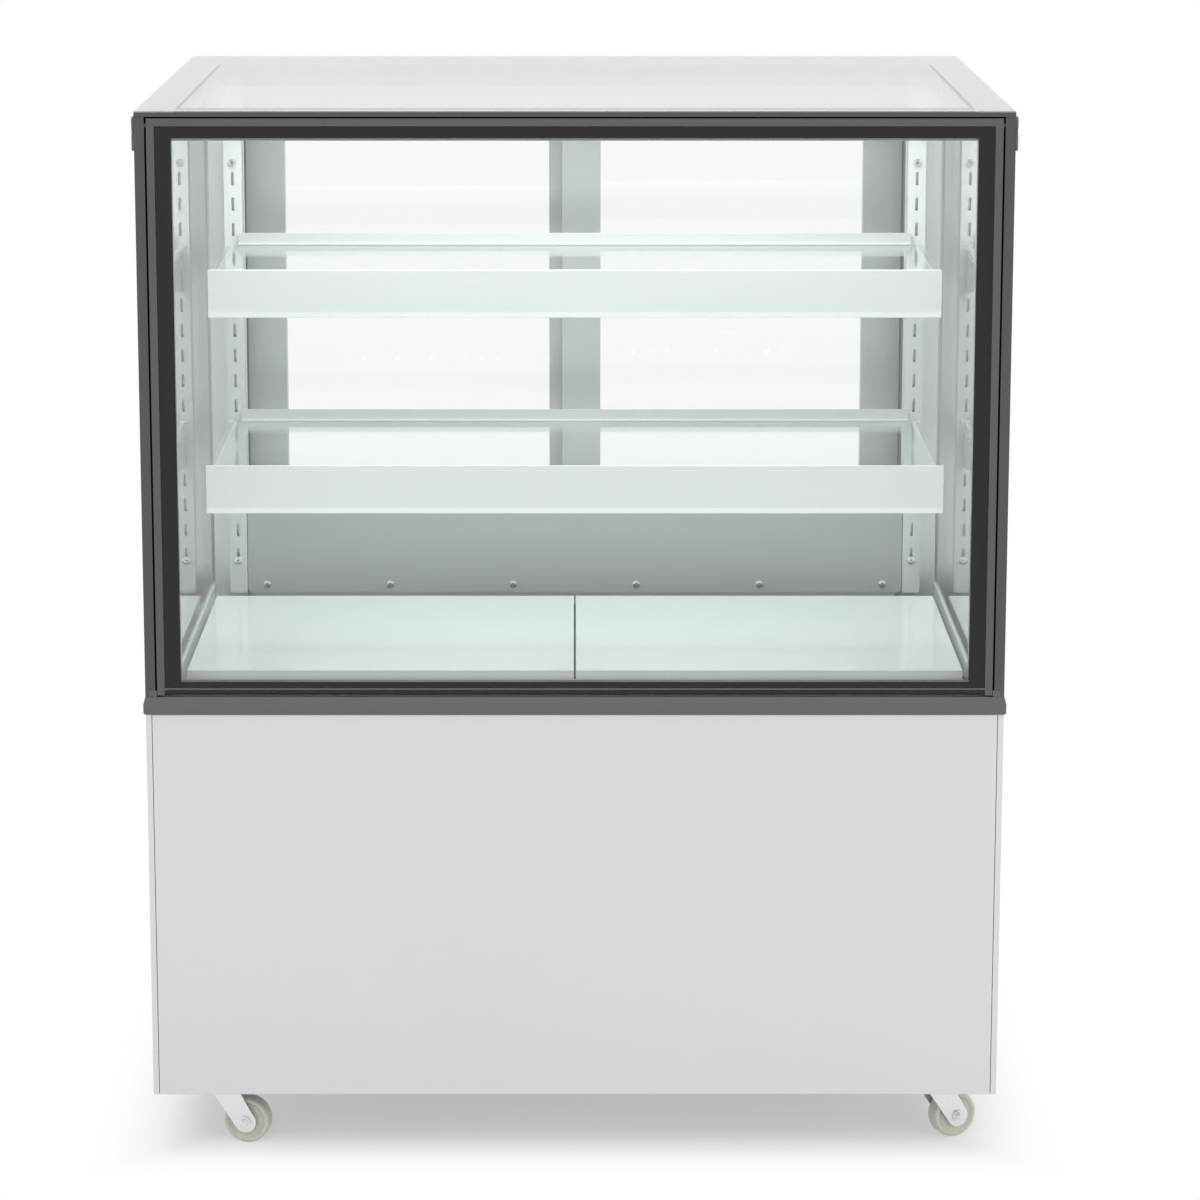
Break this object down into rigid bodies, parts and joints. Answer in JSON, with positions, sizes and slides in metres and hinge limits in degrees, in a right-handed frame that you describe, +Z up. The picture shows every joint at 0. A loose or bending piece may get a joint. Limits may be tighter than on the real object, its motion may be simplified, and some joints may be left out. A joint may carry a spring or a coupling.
{
  "type": "refrigerated display case",
  "caption": "Floor-standing refrigerated display case: glazed section with shelves and sliding rear doors on a sheet metal base with casters.",
  "frame": {"origin": "on the floor under the centre of the case", "axes": "+Z up, the front face looks towards -Y, +X to the right as seen from the front"},
  "size_m": [0.905, 0.665, 1.122],
  "materials": {
    "base_paint": "smooth pale grey paint",
    "trim_grey": "satin dark grey moulding",
    "zinc_steel": "galvanised sheet",
    "well_liner": "moulded liner",
    "compressor_paint": "black stove enamel",
    "coil_aluminium": "mill finish fins",
    "inner_sheet": "grey paint",
    "copper": "drawn copper tube",
    "riser_paint": "grey paint",
    "frame_aluminium": "dark anodised",
    "door_aluminium": "natural anodised",
    "side_glass": "clear double unit",
    "top_glass": "clear, with a printed pale border",
    "front_glass": "clear double unit",
    "door_glass": "clear toughened",
    "shelf_glass": "clear with polished edges",
    "edge_seal": "black edge seal",
    "shelf_trim": "frosted white acrylic",
    "lamp_white": "white paint",
    "lamp_lens": "opal lens",
    "upright_paint": "white paint",
    "cap_plastic": "dark grey moulding",
    "gasket_rubber": "black bulb seal",
    "caster_zinc": "bright zinc plate",
    "wheel_cream": "cream moulded wheel",
    "control_plastic": "black moulding",
    "rocker_plastic": "black rocker",
    "fan_plastic": "black moulded blades",
    "deck_white": "gloss white paint"
  },
  "bodies": {
    "case": {"chassis": "zinc_steel", "front_panel": "base_paint", "side_panel_left": "base_paint", "side_panel_right": "base_paint", "rear_grille": "base_paint", "control_fascia": "base_paint", "belt_trim": "trim_grey", "insulated_well": "well_liner", "compressor": "compressor_paint", "condenser_coil": "coil_aluminium", "condenser_shroud": "zinc_steel", "evaporator_coil": "coil_aluminium", "evaporator_fan_plate": "inner_sheet", "deck_cross_rail": "inner_sheet", "refrigerant_pipes": "copper", "rear_riser": "riser_paint", "side_frame_left": "frame_aluminium", "side_frame_right": "frame_aluminium", "side_panes": "side_glass", "top_frame": "frame_aluminium", "top_panes": "top_glass", "glazing_spacers": "edge_seal", "led_housing": "lamp_white", "led_diffuser": "lamp_lens", "door_header": "door_aluminium", "door_sill": "door_aluminium", "stanchions": "door_aluminium", "uprights": "upright_paint", "shelf_brackets": "upright_paint", "hinge_caps": "cap_plastic", "front_gasket": "gasket_rubber", "caster_plates": "caster_zinc", "rear_controls": "control_plastic", "power_inlet": "control_plastic"},
    "front_glass": {"front_frame": "frame_aluminium", "front_panes": "front_glass", "front_edge_seal": "edge_seal"},
    "door_left": {"door_left_frame": "door_aluminium", "door_left_glass": "door_glass"},
    "door_right": {"door_right_frame": "door_aluminium", "door_right_glass": "door_glass"},
    "upper_shelf": {"upper_shelf_glass": "shelf_glass", "upper_shelf_trim": "shelf_trim"},
    "lower_shelf": {"lower_shelf_glass": "shelf_glass", "lower_shelf_trim": "shelf_trim"},
    "deck_left": {"deck_plate_left": "deck_white"},
    "deck_right": {"deck_plate_right": "deck_white"},
    "fork_front_left": {"caster_fork_front_left": "caster_zinc"},
    "wheel_front_left": {"caster_wheel_front_left": "wheel_cream"},
    "fork_front_right": {"caster_fork_front_right": "caster_zinc"},
    "wheel_front_right": {"caster_wheel_front_right": "wheel_cream"},
    "fork_rear_left": {"caster_fork_rear_left": "caster_zinc"},
    "wheel_rear_left": {"caster_wheel_rear_left": "wheel_cream"},
    "fork_rear_right": {"caster_fork_rear_right": "caster_zinc"},
    "wheel_rear_right": {"caster_wheel_rear_right": "wheel_cream"},
    "condenser_fan": {"condenser_fan": "fan_plastic"},
    "evaporator_fan_left": {"evaporator_fan_left": "fan_plastic"},
    "evaporator_fan_right": {"evaporator_fan_right": "fan_plastic"},
    "power_switch": {"power_switch": "rocker_plastic"},
    "light_switch": {"light_switch": "rocker_plastic"}
  },
  "joints": [
    {"name": "front_glass_lift", "type": "hinge", "parent": "case", "child": "front_glass", "pos_m": [0, -0.3255, 1.107], "axis": [-1, 0, 0], "range_deg": [0, 80]},
    {"name": "door_left_slide", "type": "slide", "parent": "case", "child": "door_left", "axis": [1, 0, 0], "range_m": [0, 0.34]},
    {"name": "door_right_slide", "type": "slide", "parent": "case", "child": "door_right", "axis": [1, 0, 0], "range_m": [-0.34, 0]},
    {"name": "upper_shelf_lift", "type": "slide", "parent": "case", "child": "upper_shelf", "axis": [0, 0, 1], "range_m": [0, 0.04]},
    {"name": "lower_shelf_lift", "type": "slide", "parent": "case", "child": "lower_shelf", "axis": [0, 0, 1], "range_m": [0, 0.04]},
    {"name": "deck_left_lift", "type": "slide", "parent": "case", "child": "deck_left", "axis": [0, 0, 1], "range_m": [0, 0.06]},
    {"name": "deck_right_lift", "type": "slide", "parent": "case", "child": "deck_right", "axis": [0, 0, 1], "range_m": [0, 0.06]},
    {"name": "swivel_front_left", "type": "hinge", "parent": "case", "child": "fork_front_left", "pos_m": [-0.383, -0.268, 0.06], "axis": [0, 0, 1], "continuous": true},
    {"name": "roll_front_left", "type": "hinge", "parent": "fork_front_left", "child": "wheel_front_left", "pos_m": [-0.35366, -0.27424, 0.025], "axis": [0.2079, 0.9781, 0], "continuous": true},
    {"name": "swivel_front_right", "type": "hinge", "parent": "case", "child": "fork_front_right", "pos_m": [0.383, -0.268, 0.06], "axis": [0, 0, 1], "continuous": true},
    {"name": "roll_front_right", "type": "hinge", "parent": "fork_front_right", "child": "wheel_front_right", "pos_m": [0.41019, -0.25532, 0.025], "axis": [-0.4226, 0.9063, 0], "continuous": true},
    {"name": "swivel_rear_left", "type": "hinge", "parent": "case", "child": "fork_rear_left", "pos_m": [-0.383, 0.268, 0.06], "axis": [0, 0, 1], "continuous": true},
    {"name": "roll_rear_left", "type": "hinge", "parent": "fork_rear_left", "child": "wheel_rear_left", "pos_m": [-0.35402, 0.27576, 0.025], "axis": [-0.2588, 0.9659, 0], "continuous": true},
    {"name": "swivel_rear_right", "type": "hinge", "parent": "case", "child": "fork_rear_right", "pos_m": [0.383, 0.268, 0.06], "axis": [0, 0, 1], "continuous": true},
    {"name": "roll_rear_right", "type": "hinge", "parent": "fork_rear_right", "child": "wheel_rear_right", "pos_m": [0.41254, 0.26279, 0.025], "axis": [0.1736, 0.9848, 0], "continuous": true},
    {"name": "condenser_fan_spin", "type": "hinge", "parent": "case", "child": "condenser_fan", "pos_m": [0.19, 0.225, 0.183], "axis": [0, 1, 0], "continuous": true},
    {"name": "evaporator_fan_left_spin", "type": "hinge", "parent": "case", "child": "evaporator_fan_left", "pos_m": [-0.19, 0.1112, 0.439], "axis": [0, 1, 0], "continuous": true},
    {"name": "evaporator_fan_right_spin", "type": "hinge", "parent": "case", "child": "evaporator_fan_right", "pos_m": [0.19, 0.1112, 0.439], "axis": [0, 1, 0], "continuous": true},
    {"name": "power_switch_rock", "type": "hinge", "parent": "case", "child": "power_switch", "pos_m": [0.12, 0.3265, 0.437], "axis": [1, 0, 0], "range_deg": [0, 16]},
    {"name": "light_switch_rock", "type": "hinge", "parent": "case", "child": "light_switch", "pos_m": [0.165, 0.3265, 0.437], "axis": [1, 0, 0], "range_deg": [0, 16]}
  ]
}
